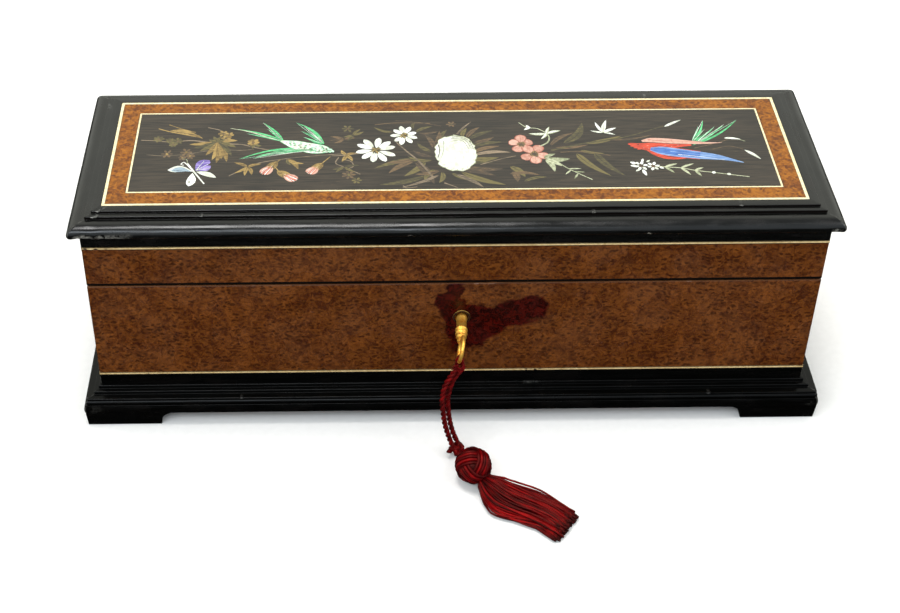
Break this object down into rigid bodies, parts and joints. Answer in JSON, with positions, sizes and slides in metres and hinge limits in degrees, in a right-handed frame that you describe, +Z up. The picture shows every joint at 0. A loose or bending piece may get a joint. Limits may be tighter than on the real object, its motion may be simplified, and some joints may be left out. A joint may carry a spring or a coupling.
{
  "type": "inlaid wooden box",
  "caption": "Long low box with burr veneer walls, ebonised mouldings, an inlaid bird and flower lid, bracket feet, front lock with key and silk tassel.",
  "frame": {"origin": "on the floor, at the centre of the footprint of the plinth and the key that stands out at the front; the box's own middle is 10.3 mm behind it", "axes": "+X to the right seen from the front, along the long side; +Y to the back, where the hinges are; +Z up"},
  "size_m": [0.3362, 0.1927, 0.1114],
  "materials": {
    "burr_veneer": "french polished red-brown burr",
    "burr_crossband": "polished orange-brown burr",
    "ebonised_wood": "glossy ebonised wood",
    "boxwood_stringing": "polished boxwood line",
    "inlaid_panel": "dark ground with coloured inlay",
    "carcass_wood": "satin brown wood",
    "brass": "old polished brass",
    "steel": "plain steel",
    "silk": "wine red silk"
  },
  "bodies": {
    "box": {"bottom_board": "carcass_wood", "stringing_base": "boxwood_stringing", "lock_case": "brass", "escutcheon": "brass", "key": "brass", "cord_left": "silk", "cord_right": "silk", "cord_knot": "silk", "tassel_ball": "silk", "tassel_skirt": "silk", "plinth_front": "ebonised_wood", "plinth_right": "ebonised_wood", "plinth_back": "ebonised_wood", "plinth_left": "ebonised_wood", "foot_front_left": "ebonised_wood", "foot_front_right": "ebonised_wood", "foot_back_left": "ebonised_wood", "foot_back_right": "ebonised_wood", "wall_front": "burr_veneer", "wall_right": "burr_veneer", "wall_back": "burr_veneer", "wall_left": "burr_veneer", "base_band_front": "ebonised_wood", "base_band_right": "ebonised_wood", "base_band_back": "ebonised_wood", "base_band_left": "ebonised_wood", "hinge_left_box_leaf": "brass", "hinge_left_pin": "steel", "hinge_right_box_leaf": "brass", "hinge_right_pin": "steel"},
    "lid": {"stringing_rim": "boxwood_stringing", "lid_board": "carcass_wood", "stringing_outer": "boxwood_stringing", "stringing_inner": "boxwood_stringing", "picture_panel": "inlaid_panel", "lock_link_plate": "brass", "lid_rim_front": "burr_veneer", "lid_rim_right": "burr_veneer", "lid_rim_back": "burr_veneer", "lid_rim_left": "burr_veneer", "frieze_front": "ebonised_wood", "frieze_right": "ebonised_wood", "frieze_back": "ebonised_wood", "frieze_left": "ebonised_wood", "cornice_front": "ebonised_wood", "cornice_right": "ebonised_wood", "cornice_back": "ebonised_wood", "cornice_left": "ebonised_wood", "crossband_front": "burr_crossband", "crossband_right": "burr_crossband", "crossband_back": "burr_crossband", "crossband_left": "burr_crossband", "hinge_left_lid_leaf": "brass", "hinge_right_lid_leaf": "brass"}
  },
  "joints": [
    {"name": "lid_hinge", "type": "hinge", "parent": "box", "child": "lid", "pos_m": [0, 0.06128, 0.075], "axis": [-1, 0, 0], "range_deg": [0, 95]}
  ]
}
